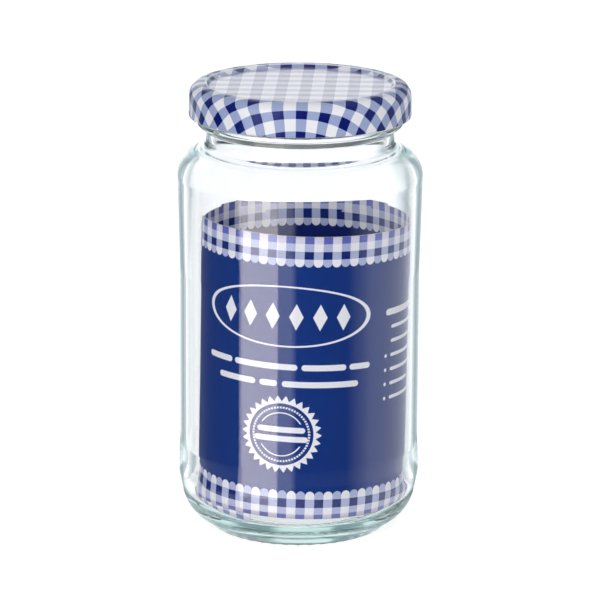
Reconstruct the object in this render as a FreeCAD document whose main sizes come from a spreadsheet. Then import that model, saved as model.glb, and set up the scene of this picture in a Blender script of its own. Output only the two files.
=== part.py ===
import FreeCAD, Part
import math
import os
import re

import Sketcher

# A preserving jar with its twist lid and a rolled card insert, in millimetres.
# The origin is the centre of the base where it stands, +Z goes up and the front faces -Y.

V = FreeCAD.Vector

SIZES = [
    # the whole
    ("overall_height", 150.6, "table to the crest of the lid"),
    ("body_radius", 39.8, "recessed label panel"),
    # glass, outside
    ("body_wall", 2.45, "glass wall at the label panel"),
    ("band_step", 0.7, "how far the upper contact band stands out"),
    ("heel_step", 0.35, "how far the lower contact band stands out"),
    ("step_height", 2.3, "height of the slopes beside the bands"),
    ("step_round", 3.0, "rounding of those slopes"),
    ("band_drop", 36.3, "lid crest to the foot of the upper band"),
    ("heel_band_top", 25.0, "top of the lower contact band"),
    ("heel_band_foot", 19.5, "foot of the lower contact band, where the heel starts"),
    ("heel_inset", 1.8, "how far the heel has drawn in at its bend"),
    ("heel_height", 8.0, "height of the bend in the heel"),
    ("heel_round", 14.0, "rounding of the heel at its bend"),
    ("base_inset", 11.8, "how far the base has drawn in at the table"),
    ("base_round", 8.0, "rounding between the heel and the base"),
    ("shoulder_drop", 25.1, "lid crest to the sharp shoulder corner"),
    ("shoulder_round", 9.0, "rounding of the shoulder"),
    ("mouth_inset", 6.8, "body radius less the mouth radius"),
    ("neck_inset", 2.0, "mouth radius less the neck radius"),
    ("neck_drop", 20.1, "lid crest to the foot of the neck"),
    ("bead_reach", 0.9, "how far the glass bead passes the mouth wall"),
    ("bead_drop", 14.8, "lid crest to the underside of the bead"),
    ("bead_height", 3.4, "height of the glass bead"),
    ("thread_reach", 1.25, "how far a glass thread stands out"),
    ("thread_angle", 62.0, "arc of one glass thread in degrees"),
    # glass, inside
    ("mouth_wall", 4.5, "thickness of the mouth wall"),
    ("floor_height", 6.6, "inner floor at the heel corner"),
    ("floor_crown", 8.2, "inner floor at the centre"),
    ("floor_round", 9.5, "rounding of the inner heel"),
    ("punt_height", 3.0, "hollow under the base at the centre"),
    ("bearing_inset", 6.5, "base corner to the inner edge of the ring it stands on"),
    # closure
    ("rim_drop", 2.3, "lid crest to the sealing rim of the glass"),
    ("lid_reach", 3.5, "how far the lid passes the mouth wall"),
    ("lid_height", 11.0, "lid from curl to crest"),
    ("lid_sheet", 0.3, "coated tinplate"),
    ("lid_round", 4.3, "shoulder of the lid"),
    ("panel_inset", 6.3, "lid edge to the step ring of the sunken panel"),
    ("panel_drop", 1.2, "depth of the panel under the crest"),
    ("curl_height", 1.5, "rolled bottom edge of the lid"),
    ("curl_depth", 1.2, "thickness of that rolled edge"),
    ("lug_reach", 2.5, "how far each lid lug reaches in"),
    ("lug_angle", 15.0, "arc of one lid lug in degrees"),
    ("lug_count", 4, "lugs on the lid and threads on the glass"),
    ("seal_inset", 2.3, "mouth wall to the inner edge of the sealing ring"),
    ("seal_width", 1.8, "width of the sealing ring"),
    # card insert
    ("card_gap", 3.45, "glass wall to the card at its inner end"),
    ("card_sheet", 0.4, "thickness of the card"),
    ("card_drop", 55.4, "overall height less the width of the card strip"),
    ("card_growth", 0.6, "radius gained in one turn"),
    ("card_pitch", 3.5, "rise in one turn, the roll is a little skewed"),
    ("card_turn", 407.0, "angle from end to end in degrees"),
    ("card_start", -117.5, "direction of the inner end in degrees"),
    ("card_shift", 1.4, "middle of the roll off the axis"),
    ("card_lean", 0.75, "lean of the roll in degrees"),
    ("card_clear", 0.6, "card to the heel it stands on"),
]

# Sizes that follow from others, so that the pieces keep fitting when one changes.
MOUTH = "(body_radius - mouth_inset)"
BORE = "(body_radius - mouth_inset - mouth_wall)"
NECK = "(body_radius - mouth_inset - neck_inset)"
BEAD = "(body_radius - mouth_inset + bead_reach)"
LID = "(body_radius - mouth_inset + lid_reach)"
PANEL = "(body_radius - mouth_inset + lid_reach - panel_inset)"
SEAL = "(body_radius - mouth_inset - seal_inset)"
BAND = "(body_radius + band_step)"
HEEL_BAND = "(body_radius + heel_step)"
HEEL = "(body_radius - heel_inset)"
BASE = "(body_radius - base_inset)"
BEARING = "(body_radius - base_inset - bearing_inset)"
CARD = "(body_radius - body_wall - card_gap)"
CARD_HEIGHT = "(overall_height - card_drop)"
# The roll stands on the inner heel at its right side, this share of a turn from its inner end.
CARD_TURN = "((360 + card_start) / 360)"
CARD_FOOT = f"({CARD} + card_sheet / 2 + card_growth * {CARD_TURN} + card_shift - sin(card_lean) * {CARD_HEIGHT} / 2)"
HEEL_CENTRE = "(body_radius - body_wall - floor_round)"
CARD_HEEL = f"(floor_height + floor_round - sqrt(floor_round ^ 2 - ({CARD_FOOT} - {HEEL_CENTRE}) ^ 2))"
CARD_SEAT = f"({CARD_HEEL} - card_pitch * {CARD_TURN} + sin(card_lean) * {CARD} + card_clear)"
RIM_HEIGHT = "(overall_height - rim_drop)"
NECK_HEIGHT = "(overall_height - neck_drop)"
BEAD_FOOT = "(overall_height - bead_drop)"
BAND_FOOT = "(overall_height - band_drop)"
SHOULDER_HEIGHT = "(overall_height - shoulder_drop)"
LID_FOOT = "(overall_height - lid_height)"

doc = FreeCAD.newDocument("preserving_jar")
sheet = doc.addObject("Spreadsheet::Sheet", "dims")
for row, (alias, value, note) in enumerate(SIZES, start=1):
    sheet.set(f"A{row}", str(value))
    sheet.set(f"B{row}", note)
    sheet.setAlias(f"A{row}", alias)
doc.recompute()


def value_of(expression):
    """Number a sheet expression gives; bare names are aliases of the sheet."""
    return float(sheet.evalExpression(expression))


def bound(expression):
    """The same expression as seen from another object."""
    return re.sub(r"[a-z]+_[a-z_]+", lambda name: f"dims.{name.group()}", expression)


def origin_item(body, role):
    """A plane or axis of the body's own origin."""
    return next(item for item in body.Origin.OriginFeatures if item.Role == role)


def new_sketch(body, name):
    """Sketch on the body's own upright XZ plane."""
    sketch = body.newObject("Sketcher::SketchObject", name)
    sketch.AttachmentSupport = [(origin_item(body, "XZ_Plane"), "")]
    sketch.MapMode = "FlatFace"
    return sketch


def pin(sketch, geometry, position, across, up):
    """Hold one point of the sketch at two sheet expressions."""
    for kind, expression in (("DistanceX", across), ("DistanceY", up)):
        index = sketch.addConstraint(
            Sketcher.Constraint(kind, -1, 1, geometry, position, value_of(expression))
        )
        sketch.setExpression(f"Constraints[{index}]", bound(expression))


def corner_cut(before, corner, after, radius):
    """Where a rounding of this radius leaves its two sides, and its centre."""
    side_a = (before - corner).normalize()
    side_b = (after - corner).normalize()
    half = math.acos(max(-1.0, min(1.0, side_a.dot(side_b)))) / 2
    reach = radius / math.tan(half)
    middle = (side_a + side_b).normalize()
    return corner + side_a * reach, corner + side_b * reach, corner + middle * (radius / math.sin(half))


def round_corner(sketch, edge_in, edge_out, corner, cut):
    """Arc between two edges; the sharp corner stays as a pinned helper point."""
    across, up, radius = corner
    start, end, centre = cut
    spin = (start - centre).cross(end - centre).z
    first, last = (start, end) if spin > 0 else (end, start)
    low = math.atan2(first.y - centre.y, first.x - centre.x)
    high = math.atan2(last.y - centre.y, last.x - centre.x)
    circle = Part.Circle(centre, V(0, 0, 1), value_of(radius))
    arc = sketch.addGeometry(Part.ArcOfCircle(circle, low, high), False)
    at_start, at_end = (1, 2) if spin > 0 else (2, 1)
    sketch.addConstraint(Sketcher.Constraint("Tangent", edge_in, 2, arc, at_start))
    sketch.addConstraint(Sketcher.Constraint("Tangent", edge_out, 1, arc, at_end))
    index = sketch.addConstraint(Sketcher.Constraint("Radius", arc, value_of(radius)))
    sketch.setExpression(f"Constraints[{index}]", bound(radius))
    helper = sketch.addGeometry(Part.Point(V(value_of(across), value_of(up), 0)), True)
    pin(sketch, helper, 1, across, up)
    sketch.addConstraint(Sketcher.Constraint("PointOnObject", helper, 1, edge_in))
    sketch.addConstraint(Sketcher.Constraint("PointOnObject", helper, 1, edge_out))


def outline(sketch, corners):
    """Closed outline through corners given as (across, up, rounding or None)."""
    count = len(corners)
    points = [V(value_of(across), value_of(up), 0) for across, up, _radius in corners]
    cuts = []
    for i, (_across, _up, radius) in enumerate(corners):
        if radius is None:
            cuts.append((points[i], points[i], None))
        else:
            cuts.append(corner_cut(points[i - 1], points[i], points[(i + 1) % count], value_of(radius)))
    edges = [
        sketch.addGeometry(Part.LineSegment(cuts[i][1], cuts[(i + 1) % count][0]), False)
        for i in range(count)
    ]
    for i, corner in enumerate(corners):
        edge_in = edges[i - 1]
        edge_out = edges[i]
        if corner[2] is None:
            sketch.addConstraint(Sketcher.Constraint("Coincident", edge_in, 2, edge_out, 1))
            pin(sketch, edge_out, 1, corner[0], corner[1])
        else:
            round_corner(sketch, edge_in, edge_out, corner, cuts[i])


def turn(body, name, corners, angle=None):
    """Outline turned about the upright axis, fully or through a centred arc."""
    sketch = new_sketch(body, f"{name}_outline")
    outline(sketch, corners)
    turned = body.newObject("PartDesign::Revolution", name)
    turned.Profile = sketch
    turned.ReferenceAxis = (sketch, ["V_Axis"])
    if angle is None:
        turned.Angle = 360.0
    else:
        turned.Midplane = True
        turned.setExpression("Angle", bound(angle))
    doc.recompute()
    return turned


def repeat_around(body, name, feature):
    """The feature repeated once for each lug around the axis."""
    pattern = body.newObject("PartDesign::PolarPattern", name)
    pattern.Originals = [feature]
    pattern.Axis = (origin_item(body, "Z_Axis"), [""])
    pattern.Angle = 360.0
    pattern.setExpression("Occurrences", bound("lug_count"))
    body.Tip = pattern
    doc.recompute()
    return pattern


def glass_jar():
    """Clear jar: hollow base, two contact bands, shoulder, neck, bead and mouth."""
    body = doc.addObject("PartDesign::Body", "glass_jar")
    turn(body, "jar_wall", [
        # underside of the base, from the axis out to the heel
        ("0", "punt_height", None),
        (f"{BEARING} * 0.5", "punt_height * 0.96", "40"),
        (f"{BEARING} - 1.3", "1.2", "1.2"),
        (BEARING, "0", "0.7"),
        (BASE, "0", "base_round"),
        (HEEL, "heel_height", "heel_round"),
        # outside of the body, going up
        (HEEL_BAND, "heel_band_foot", "heel_round"),
        (HEEL_BAND, "heel_band_top", "step_round"),
        ("body_radius", "heel_band_top + step_height", "step_round"),
        ("body_radius", f"{BAND_FOOT} - step_height", "step_round"),
        (BAND, BAND_FOOT, "step_round"),
        (BAND, SHOULDER_HEIGHT, "shoulder_round"),
        # neck, bead and mouth
        (NECK, NECK_HEIGHT, "1.6"),
        (NECK, f"{BEAD_FOOT} - 0.6", "0.8"),
        (BEAD, f"{BEAD_FOOT} + 1.2", "1.3"),
        (BEAD, f"{BEAD_FOOT} + bead_height", "1.0"),
        (f"{MOUTH} - 0.5", f"{BEAD_FOOT} + bead_height + 0.2", "0.4"),
        (MOUTH, f"{BEAD_FOOT} + bead_height + 2.2", "0.8"),
        (MOUTH, RIM_HEIGHT, "1.2"),
        (BORE, RIM_HEIGHT, "1.6"),
        # inside, going down
        (BORE, f"{NECK_HEIGHT} - 2.4", "4"),
        ("body_radius - body_wall", f"{SHOULDER_HEIGHT} - 2.2", "shoulder_round - 2"),
        ("body_radius - body_wall", "floor_height", "floor_round"),
        (f"{HEEL_CENTRE} - 3", "floor_height", "30"),
        ("7", "floor_crown", "60"),
        ("0", "floor_crown", None),
    ])
    middle = f"({LID_FOOT} + 4.1)"
    thread = turn(body, "thread", [
        (f"{MOUTH} - 1", f"{middle} - 1.4", None),
        (f"{MOUTH} - 0.05", f"{middle} - 1.4", None),
        (f"{MOUTH} + thread_reach", f"{middle} - 0.7", "0.6"),
        (f"{MOUTH} + thread_reach", f"{middle} + 0.3", "0.6"),
        (f"{MOUTH} - 0.05", f"{middle} + 1.4", None),
        (f"{MOUTH} - 1", f"{middle} + 1.4", None),
    ], "thread_angle")
    repeat_around(body, "threads", thread)
    return body


def twist_lid():
    """Tinplate lid: sunken panel, rounded shoulder, short skirt, curl and lugs."""
    top = "overall_height"
    under = "(overall_height - lid_sheet)"
    body = doc.addObject("PartDesign::Body", "twist_lid")
    turn(body, "lid_shell", [
        # outside, from the centre of the panel to the curl
        ("0", f"{top} - panel_drop", None),
        (f"{PANEL} - 0.45", f"{top} - panel_drop", "0.5"),
        (f"{PANEL} + 0.55", top, "0.9"),
        (f"{LID} - 0.1", top, "lid_round"),
        (f"{LID} - 0.1", f"{LID_FOOT} + curl_height + 0.3", "0.5"),
        (LID, f"{LID_FOOT} + curl_height", "0.5"),
        (LID, LID_FOOT, "0.55"),
        (f"{LID} - curl_depth", LID_FOOT, "0.55"),
        (f"{LID} - curl_depth", f"{LID_FOOT} + curl_height", "0.4"),
        # inside, back up to the panel
        (f"{LID} - 0.1 - lid_sheet", f"{LID_FOOT} + curl_height + 0.4", None),
        (f"{LID} - 0.1 - lid_sheet", under, "lid_round - lid_sheet"),
        (f"{PANEL} + 0.55 + lid_sheet", under, "0.4"),
        (f"{PANEL} - 0.45 + lid_sheet", f"{under} - panel_drop", "0.3"),
        ("0", f"{under} - panel_drop", None),
    ])
    lug = turn(body, "lug", [
        (f"{LID} - curl_depth + 0.2", f"{LID_FOOT} + 0.35", None),
        (f"{LID} - curl_depth + 0.2", f"{LID_FOOT} + 1.3", None),
        (f"{LID} - lug_reach", f"{LID_FOOT} + 1.9", "0.3"),
        (f"{LID} - lug_reach", f"{LID_FOOT} + 1.0", "0.3"),
    ], "lug_angle")
    repeat_around(body, "lugs", lug)
    body.Placement.Rotation = FreeCAD.Rotation(V(0, 0, 1), 45)
    return body


def lid_seal():
    """Soft ring in the channel of the lid, pressed on the rim of the glass."""
    body = doc.addObject("PartDesign::Body", "lid_seal")
    turn(body, "seal_ring", [
        (SEAL, RIM_HEIGHT, "0.3"),
        (f"{SEAL} + seal_width", RIM_HEIGHT, "0.5"),
        (f"{SEAL} + seal_width", "overall_height - lid_sheet", "0.6"),
        (f"{SEAL} + 0.9", "overall_height - lid_sheet", "0.3"),
    ])
    return body


def card_insert():
    """Strip of printed card rolled a little more than one turn, ends overlapping."""
    path = doc.addObject("Part::Helix", "card_path")
    path.LocalCoord = "Left-handed"
    path.setExpression("Pitch", bound("card_pitch"))
    path.setExpression("Height", bound("card_pitch * card_turn / 360"))
    path.setExpression("Radius", bound(CARD))
    path.setExpression("Angle", f"atan({bound('card_growth / card_pitch')})")
    section = doc.addObject("Sketcher::SketchObject", "card_section")
    section.Placement = FreeCAD.Placement(V(0, 0, 0), FreeCAD.Rotation(V(1, 0, 0), 90))
    outline(section, [
        (f"{CARD} - card_sheet / 2", f"0 - {CARD_HEIGHT} / 2", None),
        (f"{CARD} + card_sheet / 2", f"0 - {CARD_HEIGHT} / 2", None),
        (f"{CARD} + card_sheet / 2", f"{CARD_HEIGHT} / 2", None),
        (f"{CARD} - card_sheet / 2", f"{CARD_HEIGHT} / 2", None),
    ])
    card = doc.addObject("Part::Sweep", "card_insert")
    card.Sections = [section]
    card.Spine = (path, ["Edge1"])
    card.Solid = True
    card.Frenet = True
    card.setExpression("Placement.Base.x", bound("card_shift"))
    card.setExpression("Placement.Base.z", bound(f"{CARD_SEAT} + {CARD_HEIGHT} / 2"))
    card.setExpression(
        "Placement.Rotation",
        "rotation(vector(0; 1; 0); dims.card_lean) * rotation(vector(0; 0; 1); dims.card_start)",
    )
    doc.recompute()
    return card


parts = [glass_jar(), twist_lid(), lid_seal(), card_insert()]
for part in parts:
    part.Label = part.Name
doc.recompute()

for item in doc.Objects:
    if "Invalid" in item.State or "Error" in item.State:
        raise RuntimeError(f"{item.Name} did not recompute: {item.State}")

os.makedirs("parts", exist_ok=True)
for part in parts:
    shape = part.Shape
    if shape.isNull() or not shape.isValid() or len(shape.Solids) != 1:
        raise RuntimeError(f"{part.Label} is not one valid solid")
    box = shape.BoundBox
    print(f"{part.Label}: {shape.Volume / 1000:.2f} cm3, z {box.ZMin:.2f} to {box.ZMax:.2f}, width {box.XLength:.2f}")
    shape.exportStep(f"parts/{part.Label}.step")
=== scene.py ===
import math

import bmesh
import bpy
from mathutils import Euler, Matrix, Vector


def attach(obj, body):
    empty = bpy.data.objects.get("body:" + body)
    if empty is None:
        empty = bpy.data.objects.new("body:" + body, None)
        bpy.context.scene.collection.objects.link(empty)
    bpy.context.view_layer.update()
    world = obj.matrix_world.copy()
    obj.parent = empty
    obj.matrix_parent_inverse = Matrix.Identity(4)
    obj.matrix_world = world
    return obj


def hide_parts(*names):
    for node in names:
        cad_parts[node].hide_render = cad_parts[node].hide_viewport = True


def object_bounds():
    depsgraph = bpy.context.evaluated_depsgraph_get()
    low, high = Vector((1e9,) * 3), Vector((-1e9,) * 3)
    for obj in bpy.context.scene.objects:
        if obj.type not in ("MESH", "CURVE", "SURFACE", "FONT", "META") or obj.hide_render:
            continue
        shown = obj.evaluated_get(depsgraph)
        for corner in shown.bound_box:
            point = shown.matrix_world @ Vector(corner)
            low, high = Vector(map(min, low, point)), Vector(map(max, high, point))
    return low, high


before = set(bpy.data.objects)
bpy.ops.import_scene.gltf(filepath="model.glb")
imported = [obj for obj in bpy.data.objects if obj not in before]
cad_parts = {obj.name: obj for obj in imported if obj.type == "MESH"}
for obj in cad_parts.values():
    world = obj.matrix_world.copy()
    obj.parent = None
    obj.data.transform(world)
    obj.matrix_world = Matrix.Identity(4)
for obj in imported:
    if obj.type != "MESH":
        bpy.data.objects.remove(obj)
cad_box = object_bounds()

# A preserving jar with its twist lid and a rolled card insert.
# Sizes are in millimetres. Those of the whole come from the frame, the others repeat the CAD source.
MM = 0.001
FULL_TURN = 360

# glass
TOP = round(cad_box[1][2] / MM, 3)
BAND = round(cad_box[1][0] / MM, 3)
BODY = BAND - 0.7
WALL = 2.45
INNER = BODY - WALL
HEEL_BAND = BODY + 0.35
HEEL_BAND_FOOT = 19.5
HEEL_BAND_TOP = 23.0
HEEL = BODY - 1.8
HEEL_HEIGHT = 8
HEEL_ROUND = 14
BASE = BODY - 11.8
BEARING = BASE - 6.5
BASE_ROUND = 8
PUNT = 3.0
FLOOR = 6.6
FLOOR_CROWN = 8.2
FLOOR_ROUND = 9.5
BAND_FOOT = TOP - 34.0
SHOULDER = TOP - 25.1
SHOULDER_ROUND = 9
MOUTH = BODY - 6.8
BORE = MOUTH - 4.5
NECK = MOUTH - 2.0
NECK_FOOT = TOP - 20.1
BEAD = MOUTH + 0.9
BEAD_FOOT = TOP - 14.8
BEAD_TOP = BEAD_FOOT + 3.4
RIM = TOP - 2.3

# closure
LID = MOUTH + 3.5
LID_FOOT = TOP - 11.0
LID_ROUND = 4.3
PANEL = LID - 6.3
PANEL_DROP = 1.2
SHEET = 0.3
CURL = 1.2
CURL_TOP = LID_FOOT + 1.5
LUGS = 4
LUG_REACH = 2.5
SEAL = MOUTH - 2.3
SEAL_WIDTH = 1.8

# card: a strip that starts at CARD_START degrees and winds on through CARD_SWEEP degrees
CARD = INNER - 3.45
CARD_SHEET = 0.4
CARD_HEIGHT = TOP - 55.4
CARD_GROWTH = 0.6
CARD_PITCH = 3.5
CARD_SWEEP = 407.0
CARD_START = -117.5
CARD_SHIFT = 1.4
CARD_LEAN = math.radians(0.75)
CARD_CLEAR = 0.6

# relief that only the visual model has
FOOT_RIBS = 44
FOOT_RIB_DEPTH = 0.5
FOOT_RING = BASE - 0.5
FOOT_RING_WIDTH = 5.0
FOOT_RING_TOP = 1.6
THREAD_REACH = 1.25
THREAD_HEIGHT = 3.0
THREAD_HALF = math.radians(31)
THREAD_END = math.radians(4)
THREAD_MIDDLE = LID_FOOT + 4.1


# ---------------------------------------------------------------- shapes

def rounded(corners, step=0.35, closed=False):
    """Points along a line through (radius, height, rounding) corners."""
    most_parts = 24
    count = len(corners)
    points = []
    for i, (x, y, rounding) in enumerate(corners):
        here = Vector((x, y))
        if rounding is None or (not closed and i in (0, count - 1)):
            points.append(here)
            continue
        before = Vector(corners[i - 1][:2])
        after = Vector(corners[(i + 1) % count][:2])
        side_a = (before - here).normalized()
        side_b = (after - here).normalized()
        half = side_a.angle(side_b) / 2
        centre = here + (side_a + side_b).normalized() * (rounding / math.sin(half))
        start = here + side_a * (rounding / math.tan(half))
        end = here + side_b * (rounding / math.tan(half))
        sweep = math.pi - 2 * half
        parts = max(3, min(most_parts, round(rounding * sweep / step)))
        low = math.atan2(start.y - centre.y, start.x - centre.x)
        turn = math.atan2(end.y - centre.y, end.x - centre.x) - low
        turn = (turn + math.pi) % (2 * math.pi) - math.pi
        for k in range(parts + 1):
            angle = low + turn * k / parts
            points.append(centre + Vector((math.cos(angle), math.sin(angle))) * rounding)
    return points


def filled(points, longest):
    """The same line with no stretch longer than this."""
    out = [points[0]]
    for end in points[1:]:
        start = out[-1].copy()
        parts = max(1, math.ceil((end - start).length / longest))
        for k in range(1, parts + 1):
            out.append(start.lerp(end, k / parts))
    return out


def around(radius, height, angle):
    """Place in metres at this angle round the axis."""
    return radius * math.cos(angle) * MM, radius * math.sin(angle) * MM, height * MM


def lathe(name, points, segments, closed=False, shape=None):
    """Line turned about Z; a point on the axis becomes a pole. shape may move each point."""
    builder = bmesh.new()
    rings = []
    for x, y in points:
        if x < 1e-6:
            rings.append([builder.verts.new((0, 0, y * MM))])
            continue
        ring = []
        for k in range(segments):
            angle = 2 * math.pi * k / segments
            radius, height = (x, y) if shape is None else shape(x, y, angle)
            ring.append(builder.verts.new(around(radius, height, angle)))
        rings.append(ring)
    pairs = list(zip(rings, rings[1:]))
    if closed:
        pairs.append((rings[-1], rings[0]))
    for low, high in pairs:
        if len(low) == 1 and len(high) == 1:
            continue
        for k in range(segments):
            n = (k + 1) % segments
            if len(low) == 1:
                corners = (low[0], high[n], high[k])
            elif len(high) == 1:
                corners = (low[k], low[n], high[0])
            else:
                corners = (low[k], low[n], high[n], high[k])
            builder.faces.new(corners)
    return finish_mesh(name, builder)


def finish_mesh(name, builder):
    """Smooth object from a bmesh, with its faces turned outwards."""
    bmesh.ops.recalc_face_normals(builder, faces=builder.faces)
    for face in builder.faces:
        face.smooth = True
    mesh = bpy.data.meshes.new(name)
    builder.to_mesh(mesh)
    builder.free()
    piece = bpy.data.objects.new(name, mesh)
    bpy.context.scene.collection.objects.link(piece)
    return piece


def bump(value, centre, width):
    """Smooth rise to 1 at the centre, 0 at half the width away."""
    reach = abs(value - centre) / (width / 2)
    return 0.0 if reach >= 1 else 0.5 + 0.5 * math.cos(math.pi * reach)


def glass_details(radius, height, angle):
    """Threads on the mouth of the glass and the ribbed ring the jar stands on."""
    if radius > MOUTH - 0.2 and abs(height - THREAD_MIDDLE) < THREAD_HEIGHT / 2 + 0.1:
        spacing = 2 * math.pi / LUGS
        off_middle = abs((angle + spacing / 2) % spacing - spacing / 2)
        arc = min(1.0, max(0.0, (THREAD_HALF - off_middle) / THREAD_END))
        flank = min(1.0, 1.4 * bump(height, THREAD_MIDDLE - 0.2, THREAD_HEIGHT))
        radius += THREAD_REACH * arc * flank
    if height < FOOT_RING_TOP and radius > BEARING:
        rib = 0.5 + 0.5 * math.cos(FOOT_RIBS * angle)
        height += FOOT_RIB_DEPTH * bump(radius, FOOT_RING, FOOT_RING_WIDTH) * (1 - rib ** 2)
    return radius, height


def make_glass():
    """Hollow jar as one closed skin, outside and inside."""
    corners = [
        # hollow base, from the axis out to the heel
        (0, PUNT, None),
        (BEARING / 2, PUNT * 0.96, 40),
        (BEARING - 1.3, 1.2, 1.2),
        (BEARING, 0, 0.7),
        (BEARING + 1.6, 0, None),
        (BEARING + 2.8, 0, None),
        (BASE, 0, BASE_ROUND),
        (HEEL, HEEL_HEIGHT, HEEL_ROUND),
        # outside of the body with its two contact bands and their long soft tapers, going up
        (HEEL_BAND, HEEL_BAND_FOOT, HEEL_ROUND),
        (HEEL_BAND, HEEL_BAND_TOP, 8),
        (BODY, HEEL_BAND_TOP + 6.5, 14),
        (BODY, BAND_FOOT - 28.0, 60),
        (BAND, BAND_FOOT, 30),
        (BAND, SHOULDER, SHOULDER_ROUND),
        # neck, bead and mouth
        (NECK, NECK_FOOT, 1.6),
        (NECK, BEAD_FOOT - 0.6, 0.8),
        (BEAD, BEAD_FOOT + 1.2, 1.3),
        (BEAD, BEAD_TOP, 1.0),
        (MOUTH - 0.5, BEAD_TOP + 0.2, 0.4),
        (MOUTH, BEAD_TOP + 2.2, 0.8),
        (MOUTH, RIM, 1.2),
        (BORE, RIM, 1.6),
        # inside, going down
        (BORE, NECK_FOOT - 2.4, 4),
        (INNER, SHOULDER - 0.5, SHOULDER_ROUND),
        (INNER, FLOOR, FLOOR_ROUND),
        (INNER - FLOOR_ROUND - 3, FLOOR, 30),
        (7, FLOOR_CROWN, 60),
        (0, FLOOR_CROWN, None),
    ]
    return lathe("jar_glass", filled(rounded(corners), 2.5), 264, shape=glass_details)


def blank_reach(run):
    """Distance from the middle of the flat printed sheet, for a distance along the pressed lid."""
    stops = [(0, 0), (32.1, 32.1), (36.92, 35.9), (39.55, 39.5), (43.66, 43.4), (60, 59.7)]
    for (low, start), (high, end) in zip(stops, stops[1:]):
        if run <= high:
            return start + (end - start) * (run - low) / (high - low)
    return stops[-1][1]


def make_lid():
    """Tinplate lid: panel, shoulder, skirt and curl; printed outside, bare metal from the curl inwards."""
    segments = 256
    skirt = LID - 0.1
    step_low = PANEL - 0.45
    step_high = PANEL + 0.55
    panel_top = TOP - PANEL_DROP
    line = rounded([
        # outside, from the centre of the panel to the curl
        (0, panel_top, None),
        (step_low, panel_top, 0.5),
        (step_high, TOP, 0.9),
        (skirt, TOP, LID_ROUND),
        (skirt, CURL_TOP + 0.3, 0.5),
        (LID, CURL_TOP, 0.5),
        (LID, LID_FOOT, 0.55),
        (LID - CURL, LID_FOOT, 0.55),
        (LID - CURL, CURL_TOP, 0.4),
        # inside, back up to the panel
        (skirt - SHEET, CURL_TOP + 0.4, None),
        (skirt - SHEET, TOP - SHEET, LID_ROUND - SHEET),
        (step_high + SHEET, TOP - SHEET, 0.4),
        (step_low + SHEET, panel_top - SHEET, 0.3),
        (0, panel_top - SHEET, None),
    ], step=0.3)
    points = filled(line, 1.0)
    piece = lathe("lid_shell", points, segments)
    runs = [0.0]
    for start, end in zip(points, points[1:]):
        runs.append(runs[-1] + (end - start).length)
    blank = piece.data.attributes.new("blank", "FLOAT_VECTOR", "POINT")
    for i, vertex in enumerate(piece.data.vertices):
        x, y, _z = vertex.co
        ring = (i + segments - 1) // segments
        share = blank_reach(runs[ring]) / max(math.hypot(x, y), 1e-9)
        blank.data[i].vector = (x * share, y * share, 0)

    def first_ring(test):
        return next(k for k, point in enumerate(points) if test(point))

    first_side = first_ring(lambda point: point.x > PANEL + 0.7)
    first_bare = first_ring(lambda point: point.x > LID - 0.4 and point.y < LID_FOOT + 0.35)
    for i, polygon in enumerate(piece.data.polygons):
        if i // segments >= first_bare:
            polygon.material_index = 1
        elif i // segments >= first_side:
            polygon.material_index = 2
    return piece


def make_lid_lugs():
    """Lugs pressed in from the curl."""
    steps = 12
    half_arc = math.radians(7.5)
    root = 0.9
    outer = LID - root
    builder = bmesh.new()
    for lug in range(LUGS):
        middle = (lug + 0.5) * 2 * math.pi / LUGS
        rings = []
        for k in range(steps + 1):
            off_middle = 2 * k / steps - 1
            taper = max(0.15, math.sqrt(max(0.0, 1 - off_middle ** 4)))
            tip = outer - (LUG_REACH - root) * taper
            section = [
                (outer, LID_FOOT + 0.4),
                (tip + 0.3, LID_FOOT + 1.0),
                (tip, LID_FOOT + 1.25),
                (tip, LID_FOOT + 1.65),
                (tip + 0.3, LID_FOOT + 1.85),
                (outer, LID_FOOT + 1.35),
            ]
            angle = middle + half_arc * off_middle
            rings.append([builder.verts.new(around(radius, height, angle)) for radius, height in section])
        for low, high in zip(rings, rings[1:]):
            for k in range(len(low)):
                n = (k + 1) % len(low)
                builder.faces.new((low[k], low[n], high[n], high[k]))
        builder.faces.new(rings[0])
        builder.faces.new(rings[-1])
    return finish_mesh("lid_lugs", builder)


def make_seal():
    """Soft ring between the lid and the rim."""
    points = rounded([
        (SEAL, RIM, 0.3),
        (SEAL + SEAL_WIDTH, RIM, 0.5),
        (SEAL + SEAL_WIDTH, TOP - SHEET, 0.6),
        (SEAL + SEAL_WIDTH / 2, TOP - SHEET, 0.3),
    ], step=0.15, closed=True)
    return lathe("seal_ring", points, 192, closed=True)


def strip_length(turn):
    """Length of the card strip from its inner end to this many degrees round."""
    share = turn / FULL_TURN
    return 2 * math.pi * (CARD * share + CARD_GROWTH / 2 * share ** 2)


def card_point(turn, height, depth):
    """Place on the rolled strip: degrees from its inner end, height on the strip, depth outwards."""
    share = turn / FULL_TURN
    angle = math.radians(-turn)
    radius = CARD + CARD_GROWTH * share + depth
    slope = math.atan2(CARD_PITCH, strip_length(FULL_TURN))
    above_middle = height - CARD_HEIGHT / 2
    along = Vector((math.sin(angle), -math.cos(angle), 0))
    out = Vector((math.cos(angle), math.sin(angle), 0))
    point = out * radius - along * (math.sin(slope) * above_middle)
    point.z = CARD_PITCH * share + math.cos(slope) * above_middle
    return point


def card_seat():
    """Height of the strip's low corner, where the roll stands on the inner heel at its right side."""
    share = (FULL_TURN + CARD_START) / FULL_TURN
    lean = math.sin(CARD_LEAN)
    foot = CARD + CARD_SHEET / 2 + CARD_GROWTH * share + CARD_SHIFT - lean * CARD_HEIGHT / 2
    heel = FLOOR + FLOOR_ROUND - math.sqrt(FLOOR_ROUND ** 2 - (foot - (INNER - FLOOR_ROUND)) ** 2)
    return heel - CARD_PITCH * share + lean * CARD + CARD_CLEAR


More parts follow.
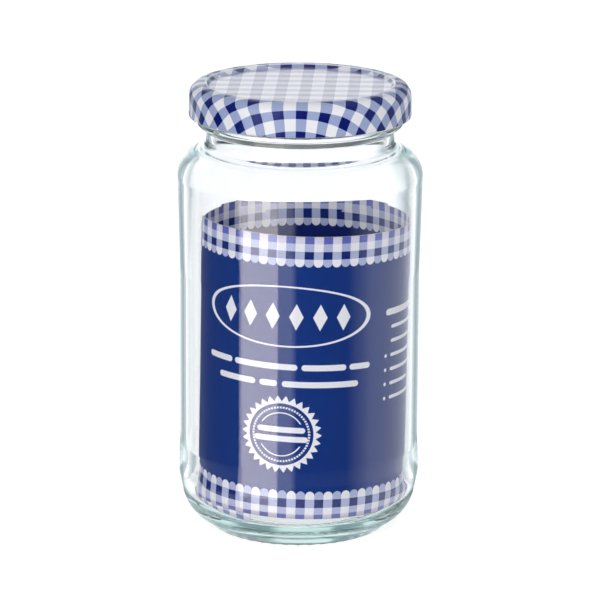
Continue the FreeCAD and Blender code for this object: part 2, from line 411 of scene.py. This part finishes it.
def make_card():
    """Rolled strip with its own thickness; u is the way along it and v the height, in mm."""
    columns, rows = 230, 30
    lean = Matrix.Rotation(CARD_LEAN, 4, "Y")
    start = Matrix.Rotation(math.radians(CARD_START), 4, "Z")
    middle = Vector((CARD_SHIFT, 0, card_seat() + CARD_HEIGHT / 2))
    builder = bmesh.new()
    layer = builder.loops.layers.uv.new("print")
    grid = {}
    for side in (0, 1):
        depth = CARD_SHEET * (side - 0.5)
        for i in range(columns + 1):
            for j in range(rows + 1):
                point = card_point(CARD_SWEEP * i / columns, CARD_HEIGHT * j / rows, depth)
                grid[side, i, j] = builder.verts.new((lean @ start @ point + middle) * MM)

    def face(keys, material):
        made = builder.faces.new([grid[key] for key in keys])
        made.material_index = material
        for loop, (_side, i, j) in zip(made.loops, keys):
            loop[layer].uv = (strip_length(CARD_SWEEP * i / columns), CARD_HEIGHT * j / rows)

    for i in range(columns):
        for j in range(rows):
            face([(1, i, j), (1, i, j + 1), (1, i + 1, j + 1), (1, i + 1, j)], 0)
            face([(0, i, j), (0, i + 1, j), (0, i + 1, j + 1), (0, i, j + 1)], 1)
        for j in (0, rows):
            face([(0, i, j), (1, i, j), (1, i + 1, j), (0, i + 1, j)], 2)
    for i in (0, columns):
        for j in range(rows):
            face([(0, i, j), (1, i, j), (1, i, j + 1), (0, i, j + 1)], 2)
    piece = finish_mesh("card_roll", builder)
    for polygon in piece.data.polygons:
        polygon.use_smooth = polygon.material_index != 2
    return piece


# ---------------------------------------------------------------- node helpers

class Net:
    """Small helper that writes node maths as plain expressions."""

    def __init__(self, tree):
        self.tree = tree

    def node(self, kind):
        return self.tree.nodes.new(kind)

    def link(self, value, socket):
        if isinstance(value, Value):
            self.tree.links.new(value.socket, socket)
        elif isinstance(value, bpy.types.NodeSocket):
            self.tree.links.new(value, socket)
        else:
            socket.default_value = value

    def split(self, vector):
        """The three numbers of a vector."""
        node = self.node("ShaderNodeSeparateXYZ")
        self.link(vector, node.inputs[0])
        return [Value(self, socket) for socket in node.outputs]

    def math(self, operation, *values):
        node = self.node("ShaderNodeMath")
        node.operation = operation
        for i, value in enumerate(values):
            self.link(value, node.inputs[i])
        return Value(self, node.outputs[0])

    def mix(self, share, first, second):
        node = self.node("ShaderNodeMix")
        node.data_type = "RGBA"
        self.link(share, node.inputs["Factor"])
        self.link(first, node.inputs["A"])
        self.link(second, node.inputs["B"])
        return node.outputs["Result"]

    def ramp(self, value, low, high):
        """0 below low and 1 above high, straight between."""
        node = self.node("ShaderNodeMapRange")
        node.clamp = True
        self.link(value, node.inputs["Value"])
        node.inputs["From Min"].default_value = low
        node.inputs["From Max"].default_value = high
        return Value(self, node.outputs["Result"])


class Value:
    """One number in a node tree."""

    def __init__(self, net, socket):
        self.net = net
        self.socket = socket

    def __add__(self, other):
        return self.net.math("ADD", self, other)

    def __sub__(self, other):
        return self.net.math("SUBTRACT", self, other)

    def __rsub__(self, other):
        return self.net.math("SUBTRACT", other, self)

    def __mul__(self, other):
        return self.net.math("MULTIPLY", self, other)

    def __truediv__(self, other):
        return self.net.math("DIVIDE", self, other)

    __radd__ = __add__

    def low(self, other):
        return self.net.math("MINIMUM", self, other)

    def high(self, other):
        return self.net.math("MAXIMUM", self, other)

    def size(self):
        return self.net.math("ABSOLUTE", self)

    def root(self):
        return self.net.math("SQRT", self)

    def fract(self):
        return self.net.math("FRACT", self)

    def above(self, limit, soft=0.04):
        """1 where this is over the limit, with a narrow soft edge."""
        return self.net.ramp(self, limit - soft, limit + soft)

    def below(self, limit, soft=0.04):
        """1 where this is under the limit, with a narrow soft edge."""
        return 1 - self.above(limit, soft)

    def between(self, start, end, soft_start, soft_end):
        """1 from start to end, each with its own soft edge."""
        return self.above(start, soft_start) * self.below(end, soft_end)


def srgb(red, green, blue):
    """Screen colour, 0 to 255, as a linear colour."""
    def one(channel):
        channel /= 255
        return channel / 12.92 if channel <= 0.04045 else ((channel + 0.055) / 1.055) ** 2.4
    return one(red), one(green), one(blue), 1.0


# ---------------------------------------------------------------- materials

def new_material(name, shader_kind="ShaderNodeBsdfPrincipled"):
    """Material with one shader on its surface."""
    material = bpy.data.materials.new(name)
    material.use_nodes = True
    net = Net(material.node_tree)
    net.tree.nodes.clear()
    output = net.node("ShaderNodeOutputMaterial")
    shader = net.node(shader_kind)
    net.link(shader.outputs[0], output.inputs["Surface"])
    return material, net, shader, output


def plain_material(name, colour, roughness, metallic=0.0):
    """Small or hidden surface with one finish all over."""
    material, _net, shader, _output = new_material(name)
    shader.inputs["Base Color"].default_value = colour
    shader.inputs["Roughness"].default_value = roughness
    shader.inputs["Metallic"].default_value = metallic
    return material


def glass_material():
    """Clear glass, faintly green where it is thick."""
    material, net, shader, output = new_material("clear_glass")
    shader.inputs["Base Color"].default_value = (1, 1, 1, 1)
    shader.inputs["Roughness"].default_value = 0.0
    shader.inputs["IOR"].default_value = 1.52
    shader.inputs["Transmission Weight"].default_value = 1.0
    volume = net.node("ShaderNodeVolumeAbsorption")
    volume.inputs["Color"].default_value = (0.72, 0.87, 0.85, 1.0)
    volume.inputs["Density"].default_value = 32.0
    net.link(volume.outputs[0], output.inputs["Volume"])
    return material


def stripes(net, value, period, start, width):
    """1 inside each stripe, which begins at start and repeats."""
    soft = 0.05
    phase = ((value - start) / period).fract() * period
    return net.ramp(phase, 0.0, soft) - net.ramp(phase, width, width + soft)


def gingham(net, across, up):
    """Woven-check colours from how many blue stripes cross: none, one or two."""
    half = net.mix((across + up).low(1.0), srgb(226, 227, 232), srgb(148, 161, 197))
    return net.mix(across * up, half, srgb(1, 20, 100))


def lid_material(name, ior, coat):
    """Gingham printed on the flat sheet before pressing, with a painted highlight ring round the panel's
    edge, under varnish.
    """
    lean = math.radians(2.2)
    painted_highlight_reach = 31.3
    material, net, shader, _output = new_material(name)
    place = net.node("ShaderNodeAttribute")
    place.attribute_name = "blank"
    x, y, _z = net.split(place.outputs["Vector"])
    across = stripes(net, x * math.cos(lean) - y * math.sin(lean), period=7.84, start=0.0, width=3.79)
    up = stripes(net, y * math.cos(lean) + x * math.sin(lean), period=7.5, start=-2.0, width=3.6)
    # Painted highlight: a thin ring at the panel's edge where the print is mixed toward white, standing in
    # for the glint of light along that edge.
    ring = ((x * x + y * y).root() - painted_highlight_reach).size().below(0.35, 0.1) * 0.7
    colour = net.mix(ring, gingham(net, across, up), srgb(246, 246, 250))
    net.link(colour, shader.inputs["Base Color"])
    shader.inputs["Roughness"].default_value = 0.3
    shader.inputs["IOR"].default_value = ior
    shader.inputs["Coat Weight"].default_value = coat
    shader.inputs["Coat Roughness"].default_value = 0.1
    shader.inputs["Coat IOR"].default_value = 1.6
    ripple = net.node("ShaderNodeTexNoise")
    net.link(place.outputs["Vector"], ripple.inputs["Vector"])
    ripple.inputs["Scale"].default_value = 0.9
    ripple.inputs["Detail"].default_value = 1.0
    relief = net.node("ShaderNodeBump")
    relief.inputs["Strength"].default_value = 0.05
    relief.inputs["Distance"].default_value = 0.0002
    net.link(ripple.outputs["Fac"], relief.inputs["Height"])
    net.link(relief.outputs[0], shader.inputs["Normal"])
    return material


# Place along the strip that faces the front, and where one of its blue columns begins there.
FRONT = strip_length(332.5)
FIRST_COLUMN = FRONT - 1.95


def card_print(name, outside):
    """Printed card: navy field, gingham bands with scalloped edges, and on the outside plain shapes."""
    column_width = 2.94
    edge_row = 2.35
    row = 2.58
    trim = 0.55
    scallop_foot = edge_row + 2 * row + 1.15
    scallop_reach = 1.45
    light = srgb(244, 243, 249)
    lilac = srgb(180, 187, 224)
    navy = srgb(6, 34, 114)
    material, net, shader, _output = new_material(name)
    strip = net.node("ShaderNodeUVMap")
    strip.uv_map = "print"
    u, v, _w = net.split(strip.outputs[0])

    # rows are counted inwards from each long edge, of which the lower one is trimmed
    across = stripes(net, u, period=2 * column_width, start=FIRST_COLUMN, width=column_width)
    inwards = (CARD_HEIGHT - v).low(v + trim)
    check = net.mix(across, light, lilac)
    blue_row = inwards.above(edge_row + row) * inwards.below(edge_row + 2 * row)
    check = net.mix(blue_row, check, net.mix(across, lilac, navy))
    on_edge = net.mix(across, srgb(222, 218, 236), srgb(98, 106, 188))
    check = net.mix(inwards.below(edge_row), check, on_edge)

    # one scallop to a column
    off_middle = ((u - FIRST_COLUMN) / column_width).fract() - 0.5
    drop = (1 - off_middle * off_middle * 4).high(0.0).root() * scallop_reach
    band = net.ramp(drop + scallop_foot - inwards, 0.0, 0.08)
    field = srgb(2, 32, 112)
    if outside:
        field = net.mix(card_marks(u, v), srgb(1, 47, 124), srgb(244, 243, 250))
    net.link(net.mix(band, field, check), shader.inputs["Base Color"])
    shader.inputs["Roughness"].default_value = 0.5
    shader.inputs["IOR"].default_value = 1.3
    return material


def card_marks(u, v):
    """Plain white shapes where a pack carries its words: a framed oval, bars, a rosette and a list.

    x runs to the right from the front and v up from the lower edge of the strip, in mm.
    """
    x = FRONT - u
    oval = (x + 6.7, v - 68.3)
    marks = oval_ring(*oval, width=27.9, height=10.0, line=0.28)
    marks = marks.high(lozenges(*oval, step=7.6, width=2.3, height=4.4, reach=22.8))

    # two lines of bars, each from start to end
    lines = (
        (51.4, ((-35.1, -24.6), (-23.5, -2.0), (-0.7, 13.8), (14.9, 22.4))),
        (45.7, ((-29.9, -15.7), (-14.2, -8.4), (-6.8, 18.2))),
    )
    for height, bars in lines:
        for start, end in bars:
            marks = marks.high(bar(x - (start + end) / 2, v - height, length=end - start, height=2.0))
    marks = marks.high(rosette(x + 6.6, v - 28.6))

    # list on the right: a heading bar, then thin bars, of which the lower ones have a dot before them
    fine = 1.2
    list_left, dot_place = 31.6, 29.3
    list_top, list_step = 62.7, 4.8
    marks = marks.high(bar(x - 38.0, v - 67.8, length=18.5, height=2.2))
    for row, length in enumerate((17.0, 14.0, 15.0, 16.0, 13.0, 15.5)):
        up = v - (list_top - row * list_step)
        marks = marks.high(bar(x - list_left - length / 2, up, length, fine))
        if row > 1:
            marks = marks.high(bar(x - dot_place, up, fine, fine))
    return marks


def oval_ring(x, y, width, height, line):
    """Thin oval outline."""
    reach = (x * x / width ** 2 + y * y / height ** 2).root()
    return ((reach - 1) * height).size().below(line)


def lozenges(x, y, step, width, height, reach):
    """Row of upright lozenges, evenly spaced about the middle."""
    across = ((x / step).fract() - 0.5) * step
    shape = (across / width).size() + (y / height).size()
    return shape.below(1.0) * x.size().below(reach)


def bar(x, y, length, height):
    """Filled bar with round ends."""
    run = (x.size() - (length / 2 - height / 2)).high(0.0)
    return (run * run + y * y).root().below(height / 2, soft=0.06)


def rosette(x, y):
    """Ring with a toothed edge; inside it a ring of dashes, two arcs and two bars."""
    teeth, tooth_height = 30, 1.9
    ring_inner, ring_outer = 10.5, 11.3
    dash_count, dash_reach = 60, 9.1
    arc_reach = 7.3
    reach = (x * x + y * y).root()
    turn = x.net.math("ARCTAN2", y, x) / (2 * math.pi)
    tooth = ((turn * teeth).fract() - 0.5).size() * 2
    ring = x.net.ramp(ring_outer + tooth * tooth_height - reach, 0.0, 0.12) * reach.above(ring_inner)
    dashes = (reach - dash_reach).size().below(0.35) * (turn * dash_count).fract().below(0.6, 0.05)
    arcs = (reach - arc_reach).size().below(0.2) * y.size().above(3.8)
    upper = bar(x, y - 1.6, length=15.6, height=1.9)
    lower = bar(x, y + 1.5, length=17.4, height=1.9)
    return ring.high(dashes).high(arcs).high(upper).high(lower)


# ---------------------------------------------------------------- build

glass = make_glass()
glass.data.materials.append(glass_material())
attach(glass, "root")
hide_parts("glass_jar")

lid = make_lid()
bare_tin = plain_material("lid_inside", srgb(205, 205, 200), roughness=0.35, metallic=0.35)
# Printed gingham, with a painted highlight ring round the panel's edge.
lid.data.materials.append(lid_material("lid_print_and_highlight", ior=1.4, coat=0.8))
lid.data.materials.append(bare_tin)
lid.data.materials.append(lid_material("lid_side_print_and_highlight", ior=1.22, coat=0.1))
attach(lid, "root")
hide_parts("twist_lid")

lugs = make_lid_lugs()
lugs.data.materials.append(bare_tin)
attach(lugs, "root")

seal = make_seal()
seal.data.materials.append(plain_material("seal_compound", srgb(222, 220, 208), roughness=0.55))
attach(seal, "root")
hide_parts("lid_seal")

card = make_card()
card.data.materials.append(card_print("card_outside", outside=True))
card.data.materials.append(card_print("card_inside", outside=False))
card.data.materials.append(plain_material("card_edge", srgb(236, 233, 228), roughness=0.7))
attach(card, "root")
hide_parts("card_insert")


# ---------------------------------------------------------------- studio

def make_floor():
    """Pale ground that the camera sees as white, and gloss and glass don't see."""
    half = 6.0
    corners = [(-half, -half, 0), (half, -half, 0), (half, half, 0), (-half, half, 0)]
    mesh = bpy.data.meshes.new("floor")
    mesh.from_pydata(corners, [], [(0, 1, 2, 3)])
    floor = bpy.data.objects.new("floor", mesh)
    bpy.context.scene.collection.objects.link(floor)
    material, net, both, _output = new_material("floor", "ShaderNodeAddShader")
    diffuse = net.node("ShaderNodeBsdfDiffuse")
    diffuse.inputs["Color"].default_value = (0.8, 0.8, 0.8, 1)
    net.link(diffuse.outputs[0], both.inputs[0])
    path = net.node("ShaderNodeLightPath")
    glow = net.node("ShaderNodeEmission")
    net.link(Value(net, path.outputs["Is Camera Ray"]) * 0.72, glow.inputs["Strength"])
    net.link(glow.outputs[0], both.inputs[1])
    mesh.materials.append(material)
    floor.visible_glossy = False
    floor.visible_transmission = False


def make_world():
    """White to the camera; for gloss and glass a studio with a white back, a dim front and softboxes.

    turn is the direction in degrees from the front, positive to the right, and z its rise from -1 to 1.
    """
    white = (1, 1, 1, 1)
    neutral = (0.97, 0.97, 1.0, 1)
    warm = (1.0, 0.92, 0.88, 1)
    teal = (0.76, 0.94, 1.0, 1)
    world = bpy.data.worlds.new("studio")
    bpy.context.scene.world = world
    world.use_nodes = True
    net = Net(world.node_tree)
    net.tree.nodes.clear()
    place = net.node("ShaderNodeTexCoord")
    x, y, z = net.split(place.outputs["Generated"])
    turn = net.math("ARCTAN2", x, 0 - y) * (180 / math.pi)
    path = net.node("ShaderNodeLightPath")
    camera_ray = Value(net, path.outputs["Is Camera Ray"])
    glossy_ray = Value(net, path.outputs["Is Glossy Ray"])
    clear_ray = Value(net, path.outputs["Is Transmission Ray"])
    unreflected = Value(net, path.outputs["Glossy Depth"]).below(0.5)
    undiffused = Value(net, path.outputs["Diffuse Depth"]).below(0.5)

    # dim front: a tall softbox on the left, a faint one beside it and a soft glow on the right
    softbox = turn.between(-59.0, -20.6, 0.8, 0.8)
    faint = turn.between(-20.6, -5.0, 0.8, 3.0)
    glow = net.ramp(turn, 48.0, 75.0)
    tall = z.between(-0.75, 0.7, 0.05, 0.1)
    dim = z.between(-0.36, -0.1, 0.02, 0.05)
    front = (softbox * 4.0 + faint * 1.1) * tall + 0.38 - dim * 0.34 + glow * 0.8

    # white back with a dark strip at each side, which draws the edges of the glass;
    # what only passes straight through the glass sees it from every side
    back = net.ramp(turn.size(), 122.0, 134.0).high(clear_ray * unreflected)
    edges = turn.between(-163.5, -145.5, 2.0, 1.5) + turn.between(147.0, 169.0, 3.0, 3.0)
    table = 1 - net.ramp(z, -0.42, -0.36)
    walls = front * (1 - back) + back * (1.25 - edges * 0.78)
    studio = walls * (1 - table) + table * 0.95

    # plain level for diffuse light, brighter where it comes in through the glass
    shiny = glossy_ray.high(clear_ray) * undiffused
    diffuse = 0.3 + clear_ray * (1 - undiffused) * 0.4
    strength = camera_ray + (1 - camera_ray) * (shiny * studio + (1 - shiny) * diffuse)
    tint = net.mix(softbox * (1 - back), neutral, warm)
    tint = net.mix(edges * back, tint, teal)
    background = net.node("ShaderNodeBackground")
    net.link(strength, background.inputs["Strength"])
    net.link(net.mix(camera_ray, tint, white), background.inputs["Color"])
    output = net.node("ShaderNodeOutputWorld")
    net.link(background.outputs[0], output.inputs["Surface"])


def make_lamp(name, place, target, size, power):
    """Soft lamp of this width and height, turned to its target and not mirrored in anything."""
    light = bpy.data.lights.new(name, "AREA")
    light.shape = "RECTANGLE"
    light.size, light.size_y = size
    light.energy = power
    lamp = bpy.data.objects.new(name, light)
    lamp.location = place
    direction = Vector(target) - Vector(place)
    lamp.rotation_euler = direction.to_track_quat("-Z", "Y").to_euler()
    lamp.visible_glossy = False
    lamp.visible_transmission = False
    bpy.context.scene.collection.objects.link(lamp)


def make_camera():
    """Long lens in front of the jar, looking a little down."""
    look_down = math.radians(14.805)
    roll = math.radians(0.3)
    data = bpy.data.cameras.new("camera")
    data.sensor_width = 36.0
    data.lens = 234.0
    data.clip_start = 0.01
    camera = bpy.data.objects.new("camera", data)
    camera.location = (0.00027, -1.250, 0.4073)
    look = Euler((math.radians(90) - look_down, 0, 0)).to_matrix().to_4x4()
    camera.rotation_euler = (look @ Matrix.Rotation(roll, 4, "Z")).to_euler()
    bpy.context.scene.collection.objects.link(camera)
    bpy.context.scene.camera = camera


make_floor()
make_world()
make_lamp("key", (-0.8, -1.2, 0.5), target=(0, 0, 0.08), size=(0.6, 0.9), power=12.0)
make_lamp("fill", (1.0, -1.0, 0.45), target=(0, 0, 0.08), size=(0.7, 0.9), power=7.5)
make_lamp("overhead", (0, 0.1, 1.2), target=(0, 0, 0.1), size=(0.9, 0.9), power=2.0)
make_camera()

scene = bpy.context.scene
scene.view_settings.view_transform = "Standard"

# Light bounces many times inside the thick heel and bead before it comes out.
scene.cycles.max_bounces = 32
scene.cycles.transmission_bounces = 32
scene.cycles.glossy_bounces = 16
scene.cycles.caustics_reflective = False

# Clear glass throws next to no shadow; the lid and the card do.
glass.visible_shadow = False
